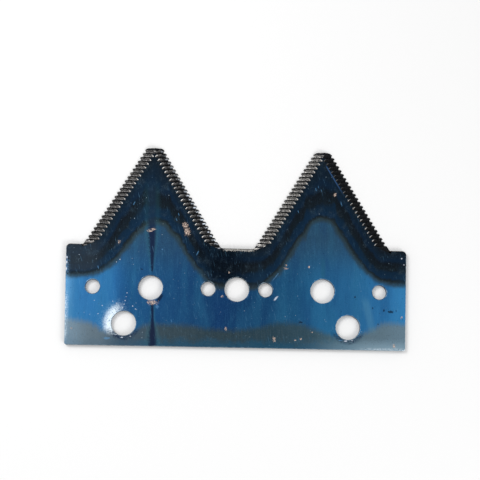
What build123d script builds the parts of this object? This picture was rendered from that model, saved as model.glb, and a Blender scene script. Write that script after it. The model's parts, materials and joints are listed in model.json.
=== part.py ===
from build123d import *
import os
from math import atan2, cos, radians, sin, tan

# Twin-tooth sickle section stamped from one steel plate, in millimetres.
# X runs along the knife bar, Y toward the tooth tips, Z up through the plate.
# The origin is the middle bolt hole's centre on the underside, which seats on the bar.

# Plate
plate_thickness = 2.0
shoulder_length = 7.25
side_taper = 1.0
back_to_bolt_row = 25.7
back_corner_radius = 1.0
shoulder_corner_radius = 1.8
rolled_edge_radius = 0.35

# Teeth
tooth_pitch = 76.2
back_to_tips = 88.9
back_to_shoulders = 44.5
back_to_valley = 43.9
tooth_gap_width = 15.3
tooth_tip_width = 7.6
root_fillet_radius = 1.8
left_tip_radius = 1.4
right_tip_radius = 3.0

# Ground bevel along each flank
bevel_width = 3.6
edge_thickness = 0.35
bevel_end_above_valley = 1.2
bevel_end_below_valley = 0.7
bevel_end_radius = 1.2

# Serrations cut across each bevel
serration_pitch = 1.814
serration_depth = 0.65
serration_ridge_width = 0.1
serration_long_side_share = 0.58
serration_slant = 8.0
shoulder_to_first_ridge = 2.05

# Holes
bolt_hole_diameter = 10.8
outer_bolt_to_lower_hole = 11.3
lower_row_drop = 15.9
rivet_hole_diameter = 6.3
middle_bolt_to_rivet = 12.7
rivet_rim_chamfer = 0.35

# How far a cutting tool stands clear of the plate
tool_clearance = 1.0

# Widths of the outline at the shoulders and at the back
tooth_root_width = tooth_pitch - tooth_gap_width
shoulder_width = tooth_pitch + tooth_root_width + 2 * shoulder_length
back_width = shoulder_width - 2 * side_taper

# Heights of the outline measured from the bolt row
back_y = -back_to_bolt_row
tip_y = back_y + back_to_tips
shoulder_y = back_y + back_to_shoulders
valley_y = back_y + back_to_valley

# One flank: how far it leans from the tooth's centre line, and how the bevel rises
flank_lean = atan2((tooth_root_width - tooth_tip_width) / 2, tip_y - shoulder_y)
bevel_rise = (plate_thickness - edge_thickness) / bevel_width

# The right flank of a tooth on x = 0: its direction down the edge and the bevel's outward normal
down_flank = Vector(sin(flank_lean), -cos(flank_lean), 0)
bevel_normal = Vector(bevel_rise * cos(flank_lean), bevel_rise * sin(flank_lean), 1)


def flank_x(y):
    """Half width of a tooth at height y."""
    return tooth_tip_width / 2 + (tip_y - y) * tan(flank_lean)


def flank_edge(y):
    """Point of the right flank's cutting edge at height y."""
    return Vector(flank_x(y), y, edge_thickness)


def tooth_centres():
    """X of each tooth's centre line."""
    return [-tooth_pitch / 2, tooth_pitch / 2]


def blank():
    """Stamped plate: base, two teeth, and a rounded corner at every turn of the outline."""
    left, right = tooth_centres()
    corners = [
        ((-back_width / 2, back_y), back_corner_radius),
        ((back_width / 2, back_y), back_corner_radius),
        ((shoulder_width / 2, shoulder_y), shoulder_corner_radius),
        ((right + flank_x(shoulder_y), shoulder_y), root_fillet_radius),
        ((right + flank_x(tip_y), tip_y), right_tip_radius),
        ((right - flank_x(tip_y), tip_y), right_tip_radius),
        ((right - flank_x(valley_y), valley_y), root_fillet_radius),
        ((left + flank_x(valley_y), valley_y), root_fillet_radius),
        ((left + flank_x(tip_y), tip_y), left_tip_radius),
        ((left - flank_x(tip_y), tip_y), left_tip_radius),
        ((left - flank_x(shoulder_y), shoulder_y), root_fillet_radius),
        ((-shoulder_width / 2, shoulder_y), shoulder_corner_radius),
    ]
    points = [point for point, radius in corners]
    radii = [radius for point, radius in corners]
    outline = FilletPolyline(*points, radius=radii, close=True)
    return extrude(make_face(outline), plate_thickness)


def hole(diameter, x, y):
    """Punch for one round hole at x, y."""
    length = plate_thickness + 2 * tool_clearance
    return Pos(x, y, plate_thickness / 2) * Cylinder(diameter / 2, length)


def bolt_holes():
    """One below each tooth, one halfway between them, and two nearer the back edge."""
    lower_x = tooth_pitch / 2 + outer_bolt_to_lower_hole
    upper = [hole(bolt_hole_diameter, x, 0) for x in tooth_centres() + [0]]
    lower = [hole(bolt_hole_diameter, x, -lower_row_drop) for x in (-lower_x, lower_x)]
    return upper + lower


def rivet_holes():
    """A pair on both sides of each tooth's bolt hole."""
    to_side = tooth_pitch / 2 - middle_bolt_to_rivet
    return [hole(rivet_hole_diameter, x + i * to_side, 0) for x in tooth_centres() for i in (-1, 1)]


def roll_over(plate):
    """Round the upper rim of the outline and of every bolt hole, as a punch leaves it."""
    upper_face = plate.faces().sort_by(Axis.Z)[-1]
    return fillet(upper_face.edges(), rolled_edge_radius)


def break_rivet_rims(plate):
    """Chamfer the upper rim of every rivet hole."""
    upper_face = plate.faces().sort_by(Axis.Z)[-1]
    rims = upper_face.edges().filter_by(GeomType.CIRCLE)
    rivet_rims = rims.filter_by(lambda rim: abs(rim.radius - rivet_hole_diameter / 2) < rolled_edge_radius / 2)
    return chamfer(rivet_rims, rivet_rim_chamfer)


def bevel_tool():
    """Material ground off the right flank of a tooth that stands on x = 0.

    Seen from above, the grinding stops at a slanting end wall just past the tooth's root.
    """
    inner = bevel_width / cos(flank_lean)
    root_x = flank_x(valley_y)
    top_y = tip_y + bevel_width
    end_y = valley_y + bevel_end_above_valley
    corner = (flank_x(end_y) - inner, end_y)
    ground_area = Polyline(
        (flank_x(top_y) - inner, top_y),
        corner,
        (root_x, valley_y - bevel_end_below_valley),
        (root_x, top_y),
        close=True,
    )
    column = extrude(make_face(ground_area), plate_thickness + tool_clearance)
    wall_edges = column.edges().filter_by(Axis.Z)
    column = fillet(wall_edges.sort_by_distance(Vertex(*corner, 0))[0], bevel_end_radius)
    slope = Plane(origin=flank_edge(shoulder_y), x_dir=down_flank, z_dir=bevel_normal)
    above_slope = slope * Box(
        3 * tip_y,
        3 * tip_y,
        3 * tip_y,
        align=(Align.CENTER, Align.CENTER, Align.MIN),
    )
    return column & above_slope


def serration_tools():
    """One cutter for each serration of the right flank of a tooth that stands on x = 0."""
    slant = radians(serration_slant)
    rise = bevel_rise * cos(flank_lean - slant)
    across = Vector(-cos(slant), -sin(slant), rise)
    lead_in = across * tool_clearance
    first_ridge_y = shoulder_y + shoulder_to_first_ridge
    cutter = Plane(
        origin=flank_edge(first_ridge_y) - lead_in,
        x_dir=bevel_normal.cross(across),
        z_dir=across,
    )
    step = down_flank * (-serration_pitch / cos(flank_lean))
    lower = -serration_ridge_width / 2
    upper = step.dot(cutter.x_dir) - lower
    deepest = upper + serration_long_side_share * (lower - upper)
    above = serration_depth / 2
    long_side = TangentArc((deepest, -serration_depth), (upper, 0), tangent=(-1, 0))
    rest = Polyline(
        (upper, 0),
        (upper, above),
        (lower, above),
        (lower, 0),
        (deepest, -serration_depth),
    )
    profile = cutter * make_face([long_side, rest])
    reach = (bevel_width + serration_depth / bevel_rise + 2 * tool_clearance) / cos(flank_lean)
    tool = extrude(profile, reach * across.length + lead_in.length)
    count = int((tip_y - first_ridge_y) / serration_pitch)
    return [Pos(step * i) * tool for i in range(count)]


def flank_tools():
    """Bevel and serration cutters for both flanks of both teeth."""
    right_flank = [bevel_tool()] + serration_tools()
    left_flank = [mirror(tool, about=Plane.YZ) for tool in right_flank]
    return [Pos(x, 0, 0) * tool for x in tooth_centres() for tool in right_flank + left_flank]


def sickle_section():
    """Whole section: stamped, punched, rolled over at the rims, ground and serrated."""
    plate = roll_over(blank() - bolt_holes()) - rivet_holes()
    plate = break_rivet_rims(plate)
    return plate - flank_tools()


os.makedirs("parts", exist_ok=True)
export_step(sickle_section(), "parts/sickle_section.step")
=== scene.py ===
import json
from math import atan2, cos, radians, sin, tan

import bpy
from mathutils import Matrix, Vector


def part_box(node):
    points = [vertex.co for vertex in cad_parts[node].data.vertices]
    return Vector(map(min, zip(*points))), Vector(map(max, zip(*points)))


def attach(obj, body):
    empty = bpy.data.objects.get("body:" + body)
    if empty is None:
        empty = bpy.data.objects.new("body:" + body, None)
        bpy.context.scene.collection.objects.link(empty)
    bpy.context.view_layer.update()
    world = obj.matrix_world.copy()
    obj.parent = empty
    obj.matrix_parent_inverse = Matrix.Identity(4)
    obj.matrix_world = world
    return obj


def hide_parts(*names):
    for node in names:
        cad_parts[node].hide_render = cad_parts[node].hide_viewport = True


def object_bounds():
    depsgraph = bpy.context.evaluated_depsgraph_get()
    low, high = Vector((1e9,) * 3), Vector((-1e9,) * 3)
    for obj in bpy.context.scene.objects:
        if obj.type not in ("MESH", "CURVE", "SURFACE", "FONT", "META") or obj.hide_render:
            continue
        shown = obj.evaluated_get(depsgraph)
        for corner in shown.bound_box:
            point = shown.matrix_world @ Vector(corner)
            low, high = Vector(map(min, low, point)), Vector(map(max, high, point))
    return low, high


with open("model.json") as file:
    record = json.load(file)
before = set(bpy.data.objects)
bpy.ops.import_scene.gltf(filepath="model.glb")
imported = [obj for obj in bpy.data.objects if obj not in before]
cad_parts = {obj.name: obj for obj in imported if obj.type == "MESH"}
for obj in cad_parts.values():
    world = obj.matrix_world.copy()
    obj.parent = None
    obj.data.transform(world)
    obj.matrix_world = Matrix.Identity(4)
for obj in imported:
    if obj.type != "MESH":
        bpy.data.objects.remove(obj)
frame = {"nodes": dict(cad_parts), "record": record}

CAD_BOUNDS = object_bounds()

# Sizes that the frame gives, in millimetres
LOWEST, HIGHEST = [corner * 1000 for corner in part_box("sickle_section")]
PLATE_THICKNESS = HIGHEST.z
BACK_Y = LOWEST.y
TOOTH_TIP_Y = HIGHEST.y
MOUNTS = {mount["name"]: mount for mount in frame["record"]["mounts"]}
TOOTH_CENTRE = MOUNTS["bolts_outer"]["dims"]["spacing_x_mm"] / 2
BOLT_HOLE_RADIUS = MOUNTS["bolts_outer"]["dims"]["hole_r_mm"]
LOWER_HOLE_X = MOUNTS["bolts_lower"]["dims"]["spacing_x_mm"] / 2
LOWER_HOLE_Y = MOUNTS["bolts_lower"]["pos_m"][1] * 1000

# Sizes of the teeth and bevels that the finish follows, in millimetres
SHOULDER_Y = 18.8
VALLEY_Y = 18.2
BASE_TOP_Y = (SHOULDER_Y + VALLEY_Y) / 2
TOOTH_ROOT_HALF_WIDTH = 30.45
TOOTH_TIP_HALF_WIDTH = 3.8
FLANK_LEAN = atan2(TOOTH_ROOT_HALF_WIDTH - TOOTH_TIP_HALF_WIDTH, TOOTH_TIP_Y - SHOULDER_Y)
BEVEL_WIDTH = 3.6
BEVEL_END_BELOW_BASE_TOP = 0.9
SERRATION_PITCH = 1.814
SERRATION_SLANT = radians(8.0)
SERRATION_RUN_OUT = 1.7
FIRST_RIDGE_Y = SHOULDER_Y + 2.05

# How far to each side of the middle the colours and lines along the plate are given
COLOUR_REACH = 76.0

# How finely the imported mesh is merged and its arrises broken, in metres
MERGE_DISTANCE = 2e-6
ARRIS_WIDTH = 0.00006


def srgb(red, green, blue):
    """A colour given as it shows on screen, 0 to 255."""
    def linear(value):
        value /= 255
        return value / 12.92 if value <= 0.04045 else ((value + 0.055) / 1.055) ** 2.4
    return (linear(red), linear(green), linear(blue), 1.0)


class Board:
    """Adds nodes to one tree. Arguments may be sockets or plain values."""

    def __init__(self, tree):
        self.tree = tree

    def node(self, kind, **settings):
        made = self.tree.nodes.new(kind)
        for name, value in settings.items():
            setattr(made, name, value)
        return made

    def plug(self, socket, value):
        if isinstance(value, bpy.types.NodeSocket):
            self.tree.links.new(value, socket)
        else:
            socket.default_value = value

    def math(self, operation, *values):
        made = self.node("ShaderNodeMath", operation=operation)
        for socket, value in zip(made.inputs, values):
            self.plug(socket, value)
        return made.outputs[0]

    def add(self, a, *others):
        for b in others:
            a = self.math("ADD", a, b)
        return a

    def sub(self, a, b):
        return self.math("SUBTRACT", a, b)

    def mul(self, a, *others):
        for b in others:
            a = self.math("MULTIPLY", a, b)
        return a

    def most(self, a, b):
        return self.math("MAXIMUM", a, b)

    def apart(self, a, b):
        """Distance between two values."""
        return self.math("ABSOLUTE", self.sub(a, b))

    def step(self, value, start, end, low=0.0, high=1.0):
        """Goes smoothly from low to high as value goes from start to end."""
        made = self.node("ShaderNodeMapRange", interpolation_type="SMOOTHSTEP", clamp=True)
        for socket, given in zip(made.inputs[:5], (value, start, end, low, high)):
            self.plug(socket, given)
        return made.outputs[0]

    def share(self, value, start, end):
        """Goes evenly from 0 to 1 as value goes from start to end."""
        made = self.node("ShaderNodeMapRange", clamp=True)
        for socket, given in zip(made.inputs[:3], (value, start, end)):
            self.plug(socket, given)
        return made.outputs[0]

    def point(self, x, y, z=0.0):
        made = self.node("ShaderNodeCombineXYZ")
        for socket, value in zip(made.inputs, (x, y, z)):
            self.plug(socket, value)
        return made.outputs[0]

    def split(self, vector):
        made = self.node("ShaderNodeSeparateXYZ")
        self.plug(made.inputs[0], vector)
        return made.outputs

    def noise(self, place, scale, detail, roughness):
        made = self.node("ShaderNodeTexNoise")
        self.plug(made.inputs["Vector"], place)
        self.plug(made.inputs["Scale"], scale)
        self.plug(made.inputs["Detail"], detail)
        self.plug(made.inputs["Roughness"], roughness)
        return made.outputs["Fac"]

    def sway(self, place, scale, roughness, width):
        """Noise that swings to both sides of 0."""
        return self.mul(self.sub(self.noise(place, scale, 4.0, roughness), 0.5), width)

    def cells(self, place, scale):
        """Distance to the nearest of many scattered dots, and a value of its own for each."""
        made = self.node("ShaderNodeTexVoronoi")
        self.plug(made.inputs["Vector"], place)
        self.plug(made.inputs["Scale"], scale)
        return made.outputs["Distance"], self.split(made.outputs["Color"])[0]

    def mix(self, share, a, b):
        """Colour a, with a share of colour b. A Mix node's colours are inputs 6 and 7 and output 2."""
        made = self.node("ShaderNodeMix", data_type="RGBA")
        self.plug(made.inputs[0], share)
        self.plug(made.inputs[6], a)
        self.plug(made.inputs[7], b)
        return made.outputs[2]

    def tones(self, colour, *tones):
        """Mixes in more tones, each up to its share as a value goes from start to end."""
        for value, start, end, share, tone in tones:
            colour = self.mix(self.step(value, start, end, 0.0, share), colour, srgb(*tone))
        return colour

    def ramp(self, value, stops):
        made = self.node("ShaderNodeValToRGB")
        band = made.color_ramp
        band.interpolation = "EASE"
        while len(band.elements) < len(stops):
            band.elements.new(1.0)
        for element, (place, colour) in zip(band.elements, stops):
            element.position = place
            element.color = srgb(*colour)
        self.plug(made.inputs[0], value)
        return made.outputs[0]

    def across(self, x, stops):
        """Colours given at places along the plate."""
        stops = [(0.5 + place / (2 * COLOUR_REACH), colour) for place, colour in stops]
        return self.ramp(self.share(x, -COLOUR_REACH, COLOUR_REACH), stops)

    def line(self, x, points):
        """Height of a smooth line through x, y points along the plate."""
        ys = [y for _, y in points]
        bottom, top = min(ys), max(ys)
        made = self.node("ShaderNodeFloatCurve")
        drawn = made.mapping.curves[0]
        while len(drawn.points) < len(points):
            drawn.points.new(0.5, 0.5)
        for spot, (px, py) in zip(drawn.points, points):
            spot.location = (0.5 + px / (2 * COLOUR_REACH), (py - bottom) / (top - bottom))
        made.mapping.update()
        self.plug(made.inputs["Value"], self.share(x, -COLOUR_REACH, COLOUR_REACH))
        return self.add(self.mul(made.outputs[0], top - bottom), bottom)

    def group(self, tree, **given):
        made = self.node("ShaderNodeGroup")
        made.node_tree = tree
        for name, value in given.items():
            self.plug(made.inputs[name], value)
        return made.outputs

    def bump(self, height, distance, strength):
        """Normal bent by a height, with its distance in millimetres."""
        made = self.node("ShaderNodeBump")
        made.inputs["Strength"].default_value = strength
        made.inputs["Distance"].default_value = distance / 1000
        self.plug(made.inputs["Height"], height)
        return made.outputs[0]


def new_material(name):
    """An empty material, its node tree and its Principled shader."""
    material = bpy.data.materials.new(name)
    material.use_nodes = True
    tree = material.node_tree
    return material, tree, tree.nodes["Principled BSDF"]


def new_group(name, inputs, outputs):
    """A node group with named sockets. Place is a vector, and the others are plain values."""
    tree = bpy.data.node_groups.new(name, "ShaderNodeTree")
    for way, labels in (("INPUT", inputs), ("OUTPUT", outputs)):
        for label in labels:
            kind = "NodeSocketVector" if label == "Place" else "NodeSocketFloat"
            tree.interface.new_socket(label, in_out=way, socket_type=kind)
    board = Board(tree)
    return tree, board, board.node("NodeGroupInput").outputs, board.node("NodeGroupOutput").inputs


def plate_place(board):
    """Place on the plate in millimetres."""
    scale = board.node("ShaderNodeVectorMath", operation="SCALE")
    board.plug(scale.inputs[0], board.node("ShaderNodeTexCoord").outputs["Object"])
    scale.inputs["Scale"].default_value = 1000.0
    return scale.outputs[0]


def upward(board):
    """How far a face turns upward, from -1 to 1."""
    return board.split(board.node("ShaderNodeTexCoord").outputs["Normal"])[2]


def tooth_lines():
    """Distance in from the nearest flank's edge, and the serration that a place lies in."""
    tree, board, given, result = new_group("tooth_lines", ["Place"], ["From Flank", "Serration"])
    x, y, _ = board.split(given["Place"])
    aside = board.apart(board.math("ABSOLUTE", x), TOOTH_CENTRE)
    half_width = board.add(board.mul(board.sub(TOOTH_TIP_Y, y), tan(FLANK_LEAN)), TOOTH_TIP_HALF_WIDTH)
    board.plug(result["From Flank"], board.mul(board.sub(half_width, aside), cos(FLANK_LEAN)))
    first_half_width = TOOTH_TIP_HALF_WIDTH + (TOOTH_TIP_Y - FIRST_RIDGE_Y) * tan(FLANK_LEAN)
    first = FIRST_RIDGE_Y - first_half_width * tan(SERRATION_SLANT)
    pitch = SERRATION_PITCH * (1 + tan(FLANK_LEAN) * tan(SERRATION_SLANT))
    slanted = board.sub(board.sub(y, board.mul(aside, tan(SERRATION_SLANT))), first)
    board.plug(result["Serration"], board.math("DIVIDE", slanted, pitch))
    return tree


def drawn_grain():
    """Fine streaks along the teeth, left by rolling and brushing."""
    tree, board, given, result = new_group("drawn_grain", ["Place"], ["Fine", "Broad"])
    x, y, z = board.split(given["Place"])
    board.plug(result["Fine"], board.noise(board.point(x, board.mul(y, 0.06), z), 2.1, 4.0, 0.65))
    board.plug(result["Broad"], board.noise(board.point(x, board.mul(y, 0.22), z), 0.16, 3.0, 0.5))
    return tree


def specks():
    """Scattered dots. Share is the part of the places that holds one."""
    tree, board, given, result = new_group("specks", ["Place", "Spacing", "Size", "Share"], ["Mask"])
    apart, own = board.cells(given["Place"], board.math("DIVIDE", 1.0, given["Spacing"]))
    radius = board.math("DIVIDE", given["Size"], given["Spacing"])
    dot = board.step(apart, radius, board.mul(radius, 0.45))
    board.plug(result["Mask"], board.mul(dot, board.math("LESS_THAN", own, given["Share"])))
    return tree


# The edge of the heat-hardened zone along the teeth
HEAT_LINE = [
    (-76, 5.0), (-66, 5.4), (-58.7, 8.2), (-49.0, 18.7), (-42.6, 26.0), (-36.5, 29.3), (-29.3, 25.0),
    (-21.0, 13.5), (-15.1, 6.4), (-8, 1.2), (0.5, 0.9), (8.9, 1.4), (15.5, 5.6), (23.4, 15.9),
    (30.1, 26.0), (38.1, 32.5), (44.9, 27.0), (53.0, 15.2), (60.1, 7.6), (65.5, 4.6), (76, 3.8),
]
# The upper edge of the dull band along the back
DULL_LINE = [
    (-76, -14.4), (-68, -15.3), (-61.7, -17.2), (-54, -19.6), (-46.4, -19.6), (-42.1, -17.9),
    (-37.7, -16.2), (-24.7, -16.2), (-14, -17.6), (-2.7, -18.2), (10.5, -16.6), (23.7, -14.6),
    (32.5, -16.4), (41.4, -19.2), (48.0, -20.6), (54.7, -19.0), (61.4, -16.1), (68.1, -14.0), (76, -15.2),
]
# Marks on the upper face: chips to bare steel, blue scuffs, pale drops and dark stains.
# Each list is for one height to width and one turn in degrees, and gives x, y and half width.
CHIPS = {
    (0.5, 0): [
        (-39.2, 25.4, 1.0), (-37.7, 26.1, 0.85), (-37.1, -6.6, 1.8), (21.6, 9.8, 0.8), (-6.5, -3.2, 0.6),
        (25.9, -22.0, 0.5), (33.4, -18.3, 0.5),
    ],
    (1.0, 0): [
        (-23.6, 28.2, 0.95), (21.8, 11.1, 0.35), (31.9, 10.7, 0.4), (28.5, -21.3, 0.4),
        (73.4, -11.1, 0.48), (-71.9, -18.6, 0.35), (-3.6, 7.4, 0.35), (43.5, 43.7, 0.65),
    ],
    (1.5, 10): [
        (-22.5, 25.4, 1.1), (16.8, -21.7, 0.6), (69.8, -23.6, 0.5), (-4.6, -17.5, 0.4), (-52.5, 20.0, 0.45),
    ],
}
SCUFFS = {
    (10.0, -36): [(17.3, 6.2, 0.2)],
    (1.0, 0): [(-33.3, 17.1, 0.3), (-35.0, -8.5, 0.7)],
    (4.0, 15): [
        (34.9, 46.0, 0.17), (37.4, 45.6, 0.14), (46.4, 39.8, 0.24), (27.0, 35.6, 0.18), (36.0, 47.2, 0.13),
        (-26.5, 33.0, 0.18), (-27.4, 30.6, 0.16), (-61.4, 8.6, 0.18), (-28.5, -14.5, 0.15),
    ],
    (0.4, 0): [(-56.5, -22.6, 1.3), (46.0, -21.6, 0.7)],
    (4.0, -25): [(-46.5, 37.5, 0.22), (-17.7, 15.8, 0.24)],
}
DROPS = {
    (1.0, 0): [
        (-48.3, -2.6, 0.19), (-48.6, -4.3, 0.16), (-49.0, -6.0, 0.18), (-49.4, -7.6, 0.2),
        (-50.0, -9.2, 0.24), (-45.6, -8.4, 0.26), (-44.4, -9.6, 0.2), (-52.6, -7.2, 0.22),
        (-54.4, -6.4, 0.19), (-58.9, -8.4, 0.2), (-60.6, -12.0, 0.18), (-62.4, -6.2, 0.16),
        (-51.9, 12.2, 0.2), (-53.4, 11.0, 0.17), (73.6, 15.4, 0.3), (74.6, 12.6, 0.24),
    ],
    (0.5, 0): [
        (-52.4, -20.9, 0.36), (-49.9, -22.1, 0.5), (-46.2, -21.6, 0.34), (48.4, -21.9, 0.6),
        (51.2, -21.6, 0.3),
    ],
    (2.0, 0): [(-75.2, 12.6, 0.28), (-75.3, 10.4, 0.3), (-75.2, 7.6, 0.26)],
    (3.2, -36): [(17.3, -3.7, 0.42)],
}
STAINS = {
    (0.5, 0): [(68.4, -8.6, 1.1), (28.4, -14.0, 0.7), (-42.1, 8.0, 0.5)],
    (1.6, 0): [
        (65.4, -8.0, 0.3), (60.4, -7.0, 0.26), (52.5, -2.3, 0.3), (70.9, -8.2, 0.24), (62.8, -14.2, 0.24),
    ],
    (2.4, -35): [(-34.0, -4.6, 0.8)],
}


class BluedPlate(Board):
    """Board for the blued steel, with the places and noises that its finishes share."""

    def __init__(self, tree, lines, grain_marks):
        super().__init__(tree)
        self.place = plate_place(self)
        self.x, self.y, self.z = self.split(self.place)
        self.flat = self.point(self.x, self.y)
        self.upward = upward(self)
        self.top = self.step(self.z, 1.2, 1.6)
        self.from_flank = self.group(lines, Place=self.place)["From Flank"]
        grain = self.group(grain_marks, Place=self.place)
        self.fine, self.broad = grain["Fine"], grain["Broad"]
        self.wander = self.sway(self.place, 0.30, 0.6, 2.5)
        self.fine_wander = self.sway(self.place, 1.9, 0.7, 2.5)
        self.ragged = self.sway(self.place, 1.7, 0.75, 4.0)
        self.mottle = self.noise(self.place, 3.2, 3.0, 0.7)
        self.off_middle = self.math("ABSOLUTE", self.x)
        self.patchy = self.add(self.fine_wander, self.mottle)
        self.flecked = self.step(self.patchy, 0.35, 0.75)


def marks(steel, lists, raggedness, soft):
    """Mask of irregular marks: ovals with broken edges."""
    together = None
    for (tallness, degrees), places in lists.items():
        turned = steel.node("ShaderNodeMapping", vector_type="TEXTURE")
        steel.plug(turned.inputs["Vector"], steel.flat)
        turned.inputs["Rotation"].default_value = (0, 0, radians(degrees))
        turned.inputs["Scale"].default_value = (1, tallness, 1)
        across, up = cos(radians(degrees)), sin(radians(degrees))
        for x, y, half_width in places:
            apart = steel.node("ShaderNodeVectorMath", operation="DISTANCE")
            steel.plug(apart.inputs[0], turned.outputs[0])
            apart.inputs[1].default_value = (across * x + up * y, (across * y - up * x) / tallness, 0)
            nearest = steel.math("DIVIDE", apart.outputs["Value"], half_width)
            together = nearest if together is None else steel.math("MINIMUM", together, nearest)
    broken = steel.add(together, steel.mul(steel.ragged, raggedness))
    return steel.step(broken, 1.0 + soft, 1.0 - soft)


def blue_field_and_sheen(steel):
    """Blue of the plate, greyer up the teeth, with painted sheen that makes it paler toward both ends."""
    # Paler toward both ends is painted sheen: the steel's reflection, set as colour.
    blue = steel.across(steel.x, [
        (-76, (84, 138, 180)), (-70, (44, 104, 154)), (-57, (40, 100, 152)), (-47, (25, 72, 115)),
        (-30, (22, 64, 104)), (-8, (16, 52, 91)), (8, (14, 50, 88)), (24, (24, 72, 108)),
        (38, (34, 92, 132)), (50, (35, 92, 135)), (63, (40, 102, 150)), (76, (50, 120, 172)),
    ])
    return steel.tones(
        blue,
        (steel.y, 2.0, 25.0, 0.88, (38, 65, 86)),
        (steel.broad, 0.45, 0.72, 0.26, (44, 106, 138)),
        (steel.broad, 0.50, 0.25, 0.34, (15, 46, 96)),
        (steel.fine, 0.50, 0.80, 0.13, (74, 130, 168)),
        (steel.fine, 0.50, 0.22, 0.18, (13, 44, 84)),
        (steel.mottle, 0.50, 0.72, 0.24, (62, 120, 160)),
        (steel.mottle, 0.48, 0.28, 0.24, (12, 44, 84)),
    )


def dull_band(steel, plate):
    """Dull scale along the back, teal at its very edge, and pale toward the lower right corner with wear
    and painted highlight.
    """
    x, y, fine, fine_wander = steel.x, steel.y, steel.fine, steel.fine_wander
    upper_edge = steel.add(
        steel.line(x, DULL_LINE),
        steel.mul(steel.wander, 0.9),
        steel.mul(fine_wander, 0.7),
        steel.mul(steel.sub(fine, 0.5), 2.6),
    )
    dull = steel.across(x, [
        (-76, (108, 130, 146)), (-62, (88, 104, 115)), (-49, (60, 76, 90)), (-30, (48, 64, 73)),
        (-7, (40, 57, 66)), (14, (36, 58, 70)), (30, (44, 68, 81)), (46, (64, 92, 106)),
        (60, (86, 108, 121)), (76, (96, 120, 135)),
    ])
    dull = steel.tones(
        dull,
        (fine, 0.45, 0.75, 0.12, (92, 106, 110)),
        (fine_wander, 0.05, 0.5, 0.35, (48, 50, 50)),
    )
    teal_edge = steel.add(y, steel.mul(steel.wander, 3.6), steel.mul(fine_wander, 0.9))
    teal = steel.step(teal_edge, BACK_Y + 5.2, BACK_Y + 0.3, 0.0, 0.62)
    teal = steel.mul(teal, steel.step(steel.off_middle, 60.0, 34.0, 0.25))
    dull = steel.mix(teal, dull, srgb(26, 74, 102))
    dull = steel.tones(dull, (steel.mottle, 0.50, 0.72, 0.22, (96, 116, 126)))
    near_back = steel.step(steel.add(y, fine_wander), BACK_Y + 5.7, BACK_Y + 0.7)
    # Pale toward the lower right corner: partly wear, partly painted highlight.
    corner_wear_and_glint = steel.mul(near_back, steel.step(x, 24.0, 66.0))
    dull = steel.mix(steel.mul(corner_wear_and_glint, 0.45), dull, srgb(146, 174, 190))
    return steel.mix(steel.step(steel.sub(y, upper_edge), 2.1, -1.9), plate, dull)


def heat_bands(steel, plate):
    """Temper colours, spread evenly between the heat line and the ground flanks."""
    x, y, mottle = steel.x, steel.y, steel.mottle
    line = steel.line(x, HEAT_LINE)
    slope = steel.sub(steel.line(steel.add(x, 1.0), HEAT_LINE), line)
    steepness = steel.math("SQRT", steel.add(steel.mul(slope, slope), 1.0))
    above = steel.math("DIVIDE", steel.sub(y, line), steepness)
    above = steel.add(above, steel.mul(steel.wander, 0.75), steel.mul(steel.fine_wander, 0.2))
    to_bevel = steel.sub(steel.from_flank, BEVEL_WIDTH)
    to_edge = steel.math("SMOOTH_MAX", to_bevel, steel.sub(BASE_TOP_Y, y), 4.0)
    to_edge = steel.most(to_edge, 0.4)
    heat = steel.math("DIVIDE", above, steel.add(steel.most(above, 0.0), to_edge))
    heat = steel.add(heat, steel.mul(steel.wander, 0.05), steel.mul(steel.fine_wander, 0.02))
    bands = steel.ramp(steel.share(heat, -0.05, 1.0), [
        (0.03, (40, 56, 62)), (0.075, (31, 37, 36)), (0.125, (20, 30, 37)), (0.19, (13, 36, 58)),
        (0.33, (12, 33, 52)), (0.45, (16, 24, 30)), (0.60, (14, 20, 26)), (0.73, (11, 29, 47)),
        (0.84, (13, 27, 40)), (0.96, (14, 22, 30)),
    ])
    shoulder = steel.mul(steel.step(x, -56.0, -66.0), steel.step(y, 24.0, 16.0))
    bands = steel.mix(steel.mul(shoulder, steel.step(heat, 0.06, 0.2), 0.75), bands, srgb(36, 45, 54))
    valley = steel.mul(steel.step(x, -22.0, -12.0), steel.step(x, 9.0, -4.0), steel.step(y, 30.0, 18.0))
    bands = steel.mix(steel.mul(valley, steel.step(heat, 0.0, 0.25), 0.85), bands, srgb(1, 7, 17))
    bands = steel.tones(
        bands,
        (steel.fine, 0.52, 0.80, 0.16, (52, 70, 84)),
        (steel.broad, 0.52, 0.72, 0.35, (24, 48, 68)),
    )
    smudged = steel.mul(steel.step(steel.wander, 0.05, 0.45), steel.step(mottle, 0.42, 0.62))
    bands = steel.mix(steel.mul(smudged, 0.32), bands, srgb(66, 84, 96))
    bands = steel.tones(bands, (mottle, 0.48, 0.70, 0.20, (40, 60, 78)))
    near_line = steel.mul(steel.step(above, -2.4, -0.2), steel.step(mottle, 0.30, 0.60, 0.4, 0.85))
    plate = steel.mix(near_line, plate, srgb(40, 50, 50))
    return steel.mix(steel.step(above, -1.7, 1.3), plate, bands)


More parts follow.
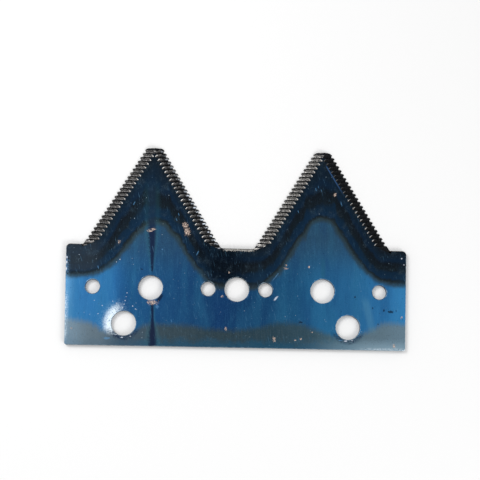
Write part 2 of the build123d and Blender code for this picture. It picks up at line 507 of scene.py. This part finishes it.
def oil_run(steel, plate):
    """Dark run of quenching oil down the left tooth, above and below the bolt hole."""
    x, y, wander = steel.x, steel.y, steel.fine_wander
    middle = steel.sub(steel.mul(y, -0.033), 37.3)
    aside = steel.math("ABSOLUTE", steel.add(steel.sub(x, middle), steel.mul(wander, 0.5)))
    above = steel.mul(steel.step(y, 8.0, 27.0, 0.62, 1.8), steel.step(y, 5.0, 9.5))
    below = steel.mul(steel.step(y, -12.0, -24.0, 0.60, 1.8), steel.step(y, -5.6, -7.5))
    half = steel.mul(steel.add(steel.most(above, below), 0.001), steel.step(wander, -0.5, 0.5, 0.75, 1.25))
    faint = steel.mul(steel.step(y, 50.0, 42.0), steel.step(y, 33.0, 25.0, 0.45, 1.0))
    away = steel.math("DIVIDE", aside, half)
    shown = steel.mul(faint, steel.step(half, 0.05, 0.4))
    fringe = steel.mul(steel.step(away, 2.5, 1.1), shown)
    run = steel.mul(steel.step(away, 1.5, 0.4), shown)
    plate = steel.mix(steel.mul(fringe, 0.3), plate, srgb(46, 96, 112))
    return steel.mix(steel.mul(run, 0.88), plate, srgb(17, 22, 50))


def lower_holes(steel, plate):
    """Painted glow and painted blown-out highlight left of the lower left hole, grime below both lower
    holes.
    """
    x, y = steel.x, steel.y
    from_middle = steel.node("ShaderNodeVectorMath", operation="LENGTH")
    to_hole = steel.point(steel.sub(steel.off_middle, LOWER_HOLE_X), steel.sub(y, LOWER_HOLE_Y))
    steel.plug(from_middle.inputs[0], to_hole)
    past_rim = steel.sub(from_middle.outputs["Value"], BOLT_HOLE_RADIUS)
    past_rim = steel.add(past_rim, steel.mul(steel.ragged, 0.5))
    # Painted highlight: a soft pale glow left of the lower left hole.
    glow_side = steel.mul(steel.step(x, -45.5, -55.0), steel.step(y, -22.0, -17.5))
    painted_glow = steel.mul(steel.step(past_rim, 7.1, 0.6), glow_side, steel.flecked)
    plate = steel.mix(steel.mul(painted_glow, 0.5), plate, srgb(150, 190, 212))
    # Painted highlight: near-white blown-out light on the steel left of the lower left hole.
    blown_side = steel.mul(steel.step(x, -49.0, -54.5), steel.step(y, -22.0, -18.0))
    blown_highlight = steel.mul(steel.step(past_rim, 4.4, 1.2), blown_side, steel.step(steel.patchy, 0.05, 0.45))
    plate = steel.mix(steel.mul(blown_highlight, 0.92), plate, srgb(222, 234, 242))
    below = steel.mul(steel.step(y, -17.5, -20.0), steel.step(steel.flecked, 0.9, 0.1))
    grime = steel.mul(steel.step(past_rim, 2.6, 1.3), below)
    return steel.mix(steel.mul(grime, 0.8), plate, srgb(20, 34, 60))


def right_streaks(steel, plate):
    """Paler streak left of the right rivet hole, and a teal run above the right bolt hole."""
    x, y = steel.x, steel.y
    aside = steel.apart(x, steel.sub(56.5, steel.mul(y, 0.21)))
    streak = steel.mul(steel.step(aside, 2.6, 0.6), steel.step(y, -1.0, -6.0), steel.step(y, -20.0, -15.0))
    plate = steel.mix(steel.mul(streak, 0.27), plate, srgb(84, 136, 160))
    teal_run = steel.mul(steel.step(steel.apart(x, 38.3), 1.6, 0.3), steel.step(y, 5.0, 7.0))
    teal_run = steel.mul(teal_run, steel.step(y, 17.0, 12.0))
    return steel.mix(steel.mul(teal_run, 0.3), plate, srgb(38, 92, 110))


def rubbed_and_glinting_edges(steel, plate):
    """Pale wear with painted highlight along the left edge and the lower right corner, a painted blown-out
    highlight low on the left edge, and a blue line by the right tip.
    """
    x, y, fine_wander = steel.x, steel.y, steel.fine_wander
    left_edge = steel.mul(steel.step(steel.add(x, fine_wander), -73.0, -75.4), steel.flecked)
    # Pale along the left edge below the shoulder: partly wear, partly painted highlight on the rounded
    # edge.
    below_shoulder = steel.mul(left_edge, steel.step(y, 15.0, 11.0))
    plate = steel.mix(steel.mul(below_shoulder, 0.5), plate, srgb(110, 160, 204))
    # Painted highlight: near-white blown-out light low on the left edge.
    lower_left_glare = steel.mul(left_edge, steel.step(y, -1.0, -8.0), steel.step(y, BACK_Y + 1.2, BACK_Y + 4.7))
    plate = steel.mix(steel.mul(lower_left_glare, 0.85), plate, srgb(222, 234, 242))
    # Pale at the lower right corner: partly wear, partly painted highlight.
    back_edge = steel.step(steel.add(y, steel.mul(fine_wander, 0.8)), BACK_Y + 1.5, BACK_Y + 0.5)
    corner = steel.mul(back_edge, steel.step(x, 50.0, 64.0), steel.flecked)
    plate = steel.mix(steel.mul(corner, 0.7), plate, srgb(196, 210, 220))
    tip_line = steel.step(steel.apart(steel.from_flank, BEVEL_WIDTH + SERRATION_RUN_OUT), 0.4, 0.1)
    tip_line = steel.mul(tip_line, steel.step(x, 39.0, 40.0))
    tip_line = steel.mul(tip_line, steel.step(y, 42.0, 50.0), steel.step(y, 59.0, 56.0))
    return steel.mix(steel.mul(tip_line, 0.5), plate, srgb(62, 98, 148))


def scratches(steel, plate):
    """Hair scratches along the teeth, dark stains and blue scuffs."""
    leaning = steel.add(steel.mul(steel.x, 2.0), steel.mul(steel.y, 0.5))
    hair = steel.noise(steel.point(leaning, steel.mul(steel.y, 0.14), steel.z), 1.5, 2.0, 0.5)
    hair = steel.mul(steel.step(hair, 0.64, 0.70), steel.step(steel.broad, 0.40, 0.55), 0.22)
    plate = steel.mix(hair, plate, srgb(96, 146, 180))
    stains = marks(steel, STAINS, 1.0, 0.2)
    plate = steel.mix(steel.mul(stains, steel.top, 0.8), plate, srgb(16, 26, 44))
    scuffs = marks(steel, SCUFFS, 0.7, 0.2)
    return steel.mix(steel.mul(scuffs, steel.top, 0.45), plate, srgb(84, 134, 176))


def scattered_dots(steel, plate, dots):
    """Pale, fine and dark dots. Gives the colour, and where the dark dots are."""
    def scattered(spacing, size, share):
        return steel.group(dots, Place=steel.place, Spacing=spacing, Size=size, Share=share)["Mask"]
    pale = scattered(2.6, 0.25, 0.38)
    dense = steel.step(steel.noise(steel.place, 0.10, 2.0, 0.5), 0.42, 0.62, 0.25, 1.0)
    plate = steel.mix(steel.mul(pale, dense, steel.top, 0.8), plate, srgb(150, 168, 180))
    fine = scattered(1.3, 0.17, 0.32)
    plate = steel.mix(steel.mul(fine, dense, 0.36), plate, srgb(140, 172, 196))
    dark = scattered(2.1, 0.30, 0.32)
    return steel.mix(steel.mul(dark, 0.42), plate, srgb(12, 24, 42)), dark


def drops_and_chips(steel, plate):
    """Pale drops, and chips down to bare steel. Gives the colour, and where the chips are."""
    drops = marks(steel, DROPS, 0.6, 0.3)
    plate = steel.mix(steel.mul(drops, steel.top, 0.8), plate, srgb(190, 198, 212))
    chips = steel.mul(marks(steel, CHIPS, 1.0, 0.4), steel.top)
    bare = steel.mix(steel.step(steel.patchy, 0.25, 0.80), srgb(100, 84, 78), srgb(216, 194, 180))
    chips = steel.mul(chips, steel.step(steel.patchy, 0.12, 0.52, 0.05, 1.0))
    return steel.mix(steel.mul(chips, 0.9), plate, bare), chips


def rims_wear_and_glint(steel, plate):
    """Paler steel where the rolled edge turns, partly wear and partly painted highlight, a bare burr in the
    gap, and dark punched walls.
    """
    turned = steel.upward
    # Paler rolled edges: partly wear, partly painted highlight along the rims.
    rim = steel.mul(steel.step(turned, 0.99, 0.86), steel.step(turned, 0.15, 0.55))
    wear_and_sheen = steel.step(steel.noise(steel.place, 0.55, 4.0, 0.7), 0.42, 0.62, 0.05, 0.8)
    plate = steel.mix(steel.mul(rim, wear_and_sheen, 0.85), plate, srgb(158, 182, 198))
    burr_edge = steel.add(steel.y, steel.mul(steel.fine_wander, 1.1))
    burr = steel.mul(steel.step(steel.apart(steel.x, 0.6), 7.6, 5.4), steel.step(steel.z, 0.9, 1.5))
    burr = steel.mul(burr, steel.step(burr_edge, VALLEY_Y - 1.2, VALLEY_Y - 0.8))
    burr = steel.mul(burr, steel.step(steel.mottle, 0.30, 0.46))
    bare = steel.mix(steel.step(steel.fine_wander, -0.3, 0.4), srgb(118, 114, 110), srgb(190, 188, 182))
    plate = steel.mix(steel.mul(burr, 0.9), plate, bare)
    wall = steel.step(steel.math("ABSOLUTE", turned), 0.35, 0.05)
    return steel.mix(steel.mul(wall, 0.72), plate, srgb(36, 42, 50))


def blued_steel(lines, grain_marks, dots):
    """Blued spring steel with its heat colours, runs, chips and wear, and painted sheen and highlights."""
    material, tree, shader = new_material("blued_steel")
    steel = BluedPlate(tree, lines, grain_marks)
    plate = blue_field_and_sheen(steel)
    for finish in (dull_band, heat_bands, oil_run, lower_holes, right_streaks, rubbed_and_glinting_edges, scratches):
        plate = finish(steel, plate)
    plate, dark_dots = scattered_dots(steel, plate, dots)
    plate, chips = drops_and_chips(steel, plate)
    plate = rims_wear_and_glint(steel, plate)

    steel.plug(shader.inputs["Base Color"], plate)
    steel.plug(shader.inputs["Metallic"], steel.step(chips, 0.0, 1.0, 0.93, 0.35))
    rough = steel.add(steel.step(steel.fine, 0.2, 0.8, 0.34, 0.48), steel.mul(chips, 0.2))
    steel.plug(shader.inputs["Roughness"], rough)
    shader.inputs["Specular IOR Level"].default_value = 0.25
    raised = steel.add(steel.mul(steel.fine, 0.5), steel.mul(steel.broad, 0.3))
    sunk = steel.add(steel.mul(chips, 1.6), steel.mul(dark_dots, 0.6))
    steel.plug(shader.inputs["Normal"], steel.bump(steel.sub(raised, sunk), 0.03, 0.6))
    return material


class GroundBevel(Board):
    """Board for the ground steel, with the places and noises that its finishes share."""

    def __init__(self, tree, lines, grain_marks):
        super().__init__(tree)
        self.place = plate_place(self)
        self.x, self.y, self.z = self.split(self.place)
        along = self.group(lines, Place=self.place)
        self.from_flank = along["From Flank"]
        self.phase = self.math("FRACT", along["Serration"])
        self.fine = self.group(grain_marks, Place=self.place)["Fine"]
        self.uneven = self.noise(self.place, 1.3, 4.0, 0.7)
        drawn = self.point(self.mul(self.x, 0.5), self.mul(self.y, 2.2), self.z)
        self.scratch = self.noise(drawn, 2.4, 4.0, 0.7)
        self.wear_and_sheen = self.flank_wear_and_sheen()
        past_left_tip = self.step(self.x, -TOOTH_CENTRE - 0.5, -TOOTH_CENTRE + 0.3)
        self.left_inner_flank = self.mul(past_left_tip, self.step(self.x, 2.0, -2.0))

    def flank_wear_and_sheen(self):
        """How bright each flank is: wear, and painted sheen for how each flank catches the light. From left
        to right: 0.56, 0.50, 0.75 and 0.03.
        """
        left = self.step(self.x, -TOOTH_CENTRE - 0.9, -TOOTH_CENTRE + 0.9, 0.56, 0.50)
        right = self.step(self.x, -1.0, 1.0, 0.0, 0.25)
        last = self.step(self.x, TOOTH_CENTRE - 0.7, TOOTH_CENTRE + 0.7, 0.0, 0.72)
        return self.sub(self.add(left, right), last)


def black_scale(bevel):
    """Black scale that the grooves keep."""
    return bevel.mix(bevel.step(bevel.scratch, 0.35, 0.70), srgb(9, 10, 12), srgb(26, 28, 31))


def brushed_sides_and_sheen(bevel, steel):
    """Grey on the serrations' long sides, partly brushed steel and partly painted sheen; paler on the right
    tooth as painted sheen, and kept black in the middle of the left tooth's inner flank as painted shade.
    """
    phase, from_flank = bevel.phase, bevel.from_flank
    long_side = bevel.mul(bevel.step(phase, 0.32, 0.48), bevel.step(phase, 0.96, 0.84))
    greyed = bevel.mul(long_side, bevel.step(bevel.add(bevel.uneven, bevel.wear_and_sheen), 0.70, 1.10))
    middle = bevel.mul(bevel.step(from_flank, 0.5, 1.3), bevel.step(from_flank, 3.4, 2.5))
    # Painted shade: the middle of the left tooth's inner flank stays black.
    still_black = bevel.mul(middle, bevel.left_inner_flank, 0.8)
    greyed = bevel.mul(greyed, bevel.sub(1.0, still_black))
    # Paler on the right tooth: painted sheen.
    pale = bevel.mix(bevel.step(bevel.x, -1.0, 1.0), srgb(104, 102, 100), srgb(156, 153, 149))
    brushed = bevel.mix(bevel.step(bevel.scratch, 0.44, 0.60), srgb(50, 51, 53), pale)
    return bevel.mix(bevel.mul(greyed, 0.85), steel, brushed)


def painted_end_glints(bevel, steel):
    """Painted highlights on the outer ends of the serrations on the left tooth's inner flank."""
    phase, from_flank = bevel.phase, bevel.from_flank
    outer = bevel.mul(bevel.step(from_flank, 0.15, 0.5), bevel.step(from_flank, 2.0, 1.1))
    outer = bevel.mul(outer, bevel.step(phase, 0.50, 0.66), bevel.step(phase, 0.96, 0.86))
    outer = bevel.mul(outer, bevel.step(bevel.y, 46.0, 36.0, 0.35, 1.0))
    outer = bevel.mul(outer, bevel.step(bevel.uneven, 0.42, 0.56), bevel.left_inner_flank)
    # Painted highlight: blue-white glint at the outer ends.
    return bevel.mix(bevel.mul(outer, 0.85), steel, srgb(202, 212, 224))


def ridge_wear_and_glints(bevel, steel):
    """Pale ridges between the serrations: partly bare worn steel, partly painted highlight."""
    ridge = bevel.step(bevel.apart(bevel.phase, 0.90), 0.10, 0.03)
    ridge = bevel.mul(ridge, bevel.step(bevel.uneven, 0.45, 0.62), bevel.wear_and_sheen)
    # Partly wear, partly painted highlight along the ridges.
    return bevel.mix(ridge, steel, srgb(184, 181, 176))


def run_out_glints(bevel, steel):
    """Painted glints where the wheel ran out of the plate, left out at the top of the last flank."""
    # Painted highlight on the run-out ends of the grooves.
    run_out_glint = bevel.mul(bevel.step(bevel.phase, 0.42, 0.62), bevel.step(bevel.phase, 0.98, 0.86))
    run_out_glint = bevel.mul(run_out_glint, bevel.step(bevel.z, 1.70, 1.92), bevel.step(bevel.y, 20.2, 21.6))
    last_flank = bevel.step(bevel.x, TOOTH_CENTRE - 0.1, TOOTH_CENTRE + 0.9)
    glint_left_out = bevel.mul(last_flank, bevel.step(bevel.y, 40.0, 46.0), 0.85)
    run_out_glint = bevel.mul(run_out_glint, bevel.sub(1.0, glint_left_out), bevel.step(bevel.uneven, 0.40, 0.55, 0.35, 0.9))
    return bevel.mix(run_out_glint, steel, srgb(214, 211, 206))


def ground_steel(lines, grain_marks, dots):
    """Serrated bevels: black scale in the grooves, with painted sheen on the flanks and painted glints
    where the wheel ran out.
    """
    material, tree, shader = new_material("ground_steel")
    bevel = GroundBevel(tree, lines, grain_marks)
    steel = black_scale(bevel)
    for finish in (brushed_sides_and_sheen, painted_end_glints, ridge_wear_and_glints, run_out_glints):
        steel = finish(bevel, steel)
    speckled = bevel.group(dots, Place=bevel.place, Spacing=0.9, Size=0.12, Share=0.3)["Mask"]
    steel = bevel.mix(bevel.mul(speckled, 0.4), steel, srgb(110, 114, 118))

    bevel.plug(shader.inputs["Base Color"], steel)
    bevel.plug(shader.inputs["Metallic"], bevel.step(bevel.scratch, 0.2, 0.9, 0.95, 0.8))
    bevel.plug(shader.inputs["Roughness"], bevel.step(bevel.uneven, 0.3, 0.7, 0.26, 0.42))
    shader.inputs["Specular IOR Level"].default_value = 0.4
    relief = bevel.add(bevel.scratch, bevel.mul(bevel.fine, 0.4))
    bevel.plug(shader.inputs["Normal"], bevel.bump(relief, 0.05, 0.7))
    return material


def broken_arrises(made):
    """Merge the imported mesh's loose triangles, and break its ridges and arrises."""
    bpy.ops.object.select_all(action="DESELECT")
    made.select_set(True)
    bpy.context.view_layer.objects.active = made
    bpy.ops.object.mode_set(mode="EDIT")
    bpy.ops.mesh.select_mode(type="EDGE")
    bpy.ops.mesh.select_all(action="SELECT")
    bpy.ops.mesh.remove_doubles(threshold=MERGE_DISTANCE)
    bpy.ops.mesh.dissolve_limited(angle_limit=radians(0.3))
    bpy.ops.object.mode_set(mode="OBJECT")

    arris = made.modifiers.new("arris", "BEVEL")
    arris.width = ARRIS_WIDTH
    arris.segments = 2
    arris.limit_method = "ANGLE"
    arris.angle_limit = radians(28)
    arris.use_clamp_overlap = True
    arris.miter_outer = "MITER_ARC"
    bpy.ops.object.modifier_apply(modifier="arris")
    low, high = CAD_BOUNDS
    for vertex in made.data.vertices:
        vertex.co = [min(max(value, a), b) for value, a, b in zip(vertex.co, low, high)]


def lies_on_bevel(face):
    """Whether a face was ground or serrated: by a flank, tilted, and between the flat sides."""
    x, y, z = (value * 1000 for value in face.center)
    half_width = TOOTH_TIP_HALF_WIDTH + (TOOTH_TIP_Y - y) * tan(FLANK_LEAN)
    from_flank = (half_width - abs(abs(x) - TOOTH_CENTRE)) * cos(FLANK_LEAN)
    by_flank = y > BASE_TOP_Y - BEVEL_END_BELOW_BASE_TOP and from_flank < BEVEL_WIDTH + SERRATION_RUN_OUT
    return by_flank and face.normal.z < 0.995 and 0.02 < z < PLATE_THICKNESS - 0.003


def dressed_section(node, plate_finish, ground_finish):
    """The section with its ridges and arrises broken, and its bevels in ground steel."""
    made = bpy.data.objects.new("section_body", node.data.copy())
    bpy.context.scene.collection.objects.link(made)
    broken_arrises(made)
    made.data.materials.clear()
    made.data.materials.append(plate_finish)
    made.data.materials.append(ground_finish)
    for face in made.data.polygons:
        face.material_index = 1 if lies_on_bevel(face) else 0
    bpy.ops.object.shade_smooth_by_angle(angle=radians(32))
    weighted = made.modifiers.new("flat_faces", "WEIGHTED_NORMAL")
    weighted.keep_sharp = True
    bpy.ops.object.modifier_apply(modifier="flat_faces")
    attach(made, "root")
    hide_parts("sickle_section")


def camera():
    """The photograph's viewpoint, fitted to the holes and edges of the plate."""
    lens = bpy.data.cameras.new("camera")
    lens.sensor_width = 36.0
    lens.lens = 75.0
    lens.clip_start = 0.01
    made = bpy.data.objects.new("camera", lens)
    bpy.context.scene.collection.objects.link(made)
    tilt, swing, roll = radians(-9.07), radians(2.44), radians(-1.36)
    turn = Matrix.Rotation(roll, 3, "Z") @ Matrix.Rotation(swing, 3, "Y") @ Matrix.Rotation(tilt, 3, "X")
    back = turn.transposed()
    to_lens = Vector((1.485, 22.122, 444.0)) / 1000
    made.matrix_world = Matrix.Translation(back @ to_lens) @ back.to_4x4()
    bpy.context.scene.camera = made


def light(name, place, aim, size, power):
    """A soft square lamp at place, turned toward aim, in metres and watts."""
    lamp = bpy.data.lights.new(name, "AREA")
    lamp.size = size
    lamp.energy = power
    made = bpy.data.objects.new(name, lamp)
    bpy.context.scene.collection.objects.link(made)
    made.location = place
    direction = Vector(aim) - Vector(place)
    made.rotation_euler = direction.to_track_quat("-Z", "Y").to_euler()


def seen_directly(board):
    """1 for what the camera sees itself, in a gloss or through glass, and 0 for light on the part."""
    path = board.node("ShaderNodeLightPath").outputs
    return board.most(path["Is Camera Ray"], board.most(path["Is Glossy Ray"], path["Is Transmission Ray"]))


def paper_floor():
    """Pale paper under the part. Far out it shines a little, so that low views keep it white."""
    bpy.ops.object.select_all(action="DESELECT")
    bpy.ops.mesh.primitive_plane_add(size=4.0, location=(0, 0, -0.0002))
    floor = bpy.context.object
    floor.name = "floor"
    material, tree, shader = new_material("floor_paper")
    board = Board(tree)
    shader.inputs["Base Color"].default_value = (0.95, 0.95, 0.95, 1)
    shader.inputs["Roughness"].default_value = 0.9
    shader.inputs["Specular IOR Level"].default_value = 0.1
    away = board.node("ShaderNodeVectorMath", operation="LENGTH")
    board.plug(away.inputs[0], board.node("ShaderNodeTexCoord").outputs["Object"])
    shine = board.mul(board.step(away.outputs["Value"], 0.25, 1.2, 0.0, 0.42), seen_directly(board))
    shader.inputs["Emission Color"].default_value = (1, 1, 1, 1)
    board.plug(shader.inputs["Emission Strength"], shine)
    floor.data.materials.append(material)


def white_surroundings():
    """World that lights the part evenly and shows as white."""
    world = bpy.data.worlds.new("studio")
    bpy.context.scene.world = world
    world.use_nodes = True
    board = Board(world.node_tree)
    background = world.node_tree.nodes["Background"]
    background.inputs["Color"].default_value = (1, 1, 1, 1)
    board.plug(background.inputs["Strength"], board.add(board.mul(seen_directly(board), 0.38), 0.62))


def studio():
    """Pale floor, white surroundings and two soft lamps."""
    paper_floor()
    white_surroundings()
    light("key", (-0.42, 0.30, 0.62), (0, 0.01, 0), 0.30, 2.6)
    light("fill", (0.40, -0.42, 0.45), (0, 0.01, 0), 0.25, 1.2)


camera()
studio()
LINES, GRAIN, DOTS = tooth_lines(), drawn_grain(), specks()
dressed_section(
    frame["nodes"]["sickle_section"],
    blued_steel(LINES, GRAIN, DOTS),
    ground_steel(LINES, GRAIN, DOTS),
)
bpy.context.scene.view_settings.view_transform = "Standard"
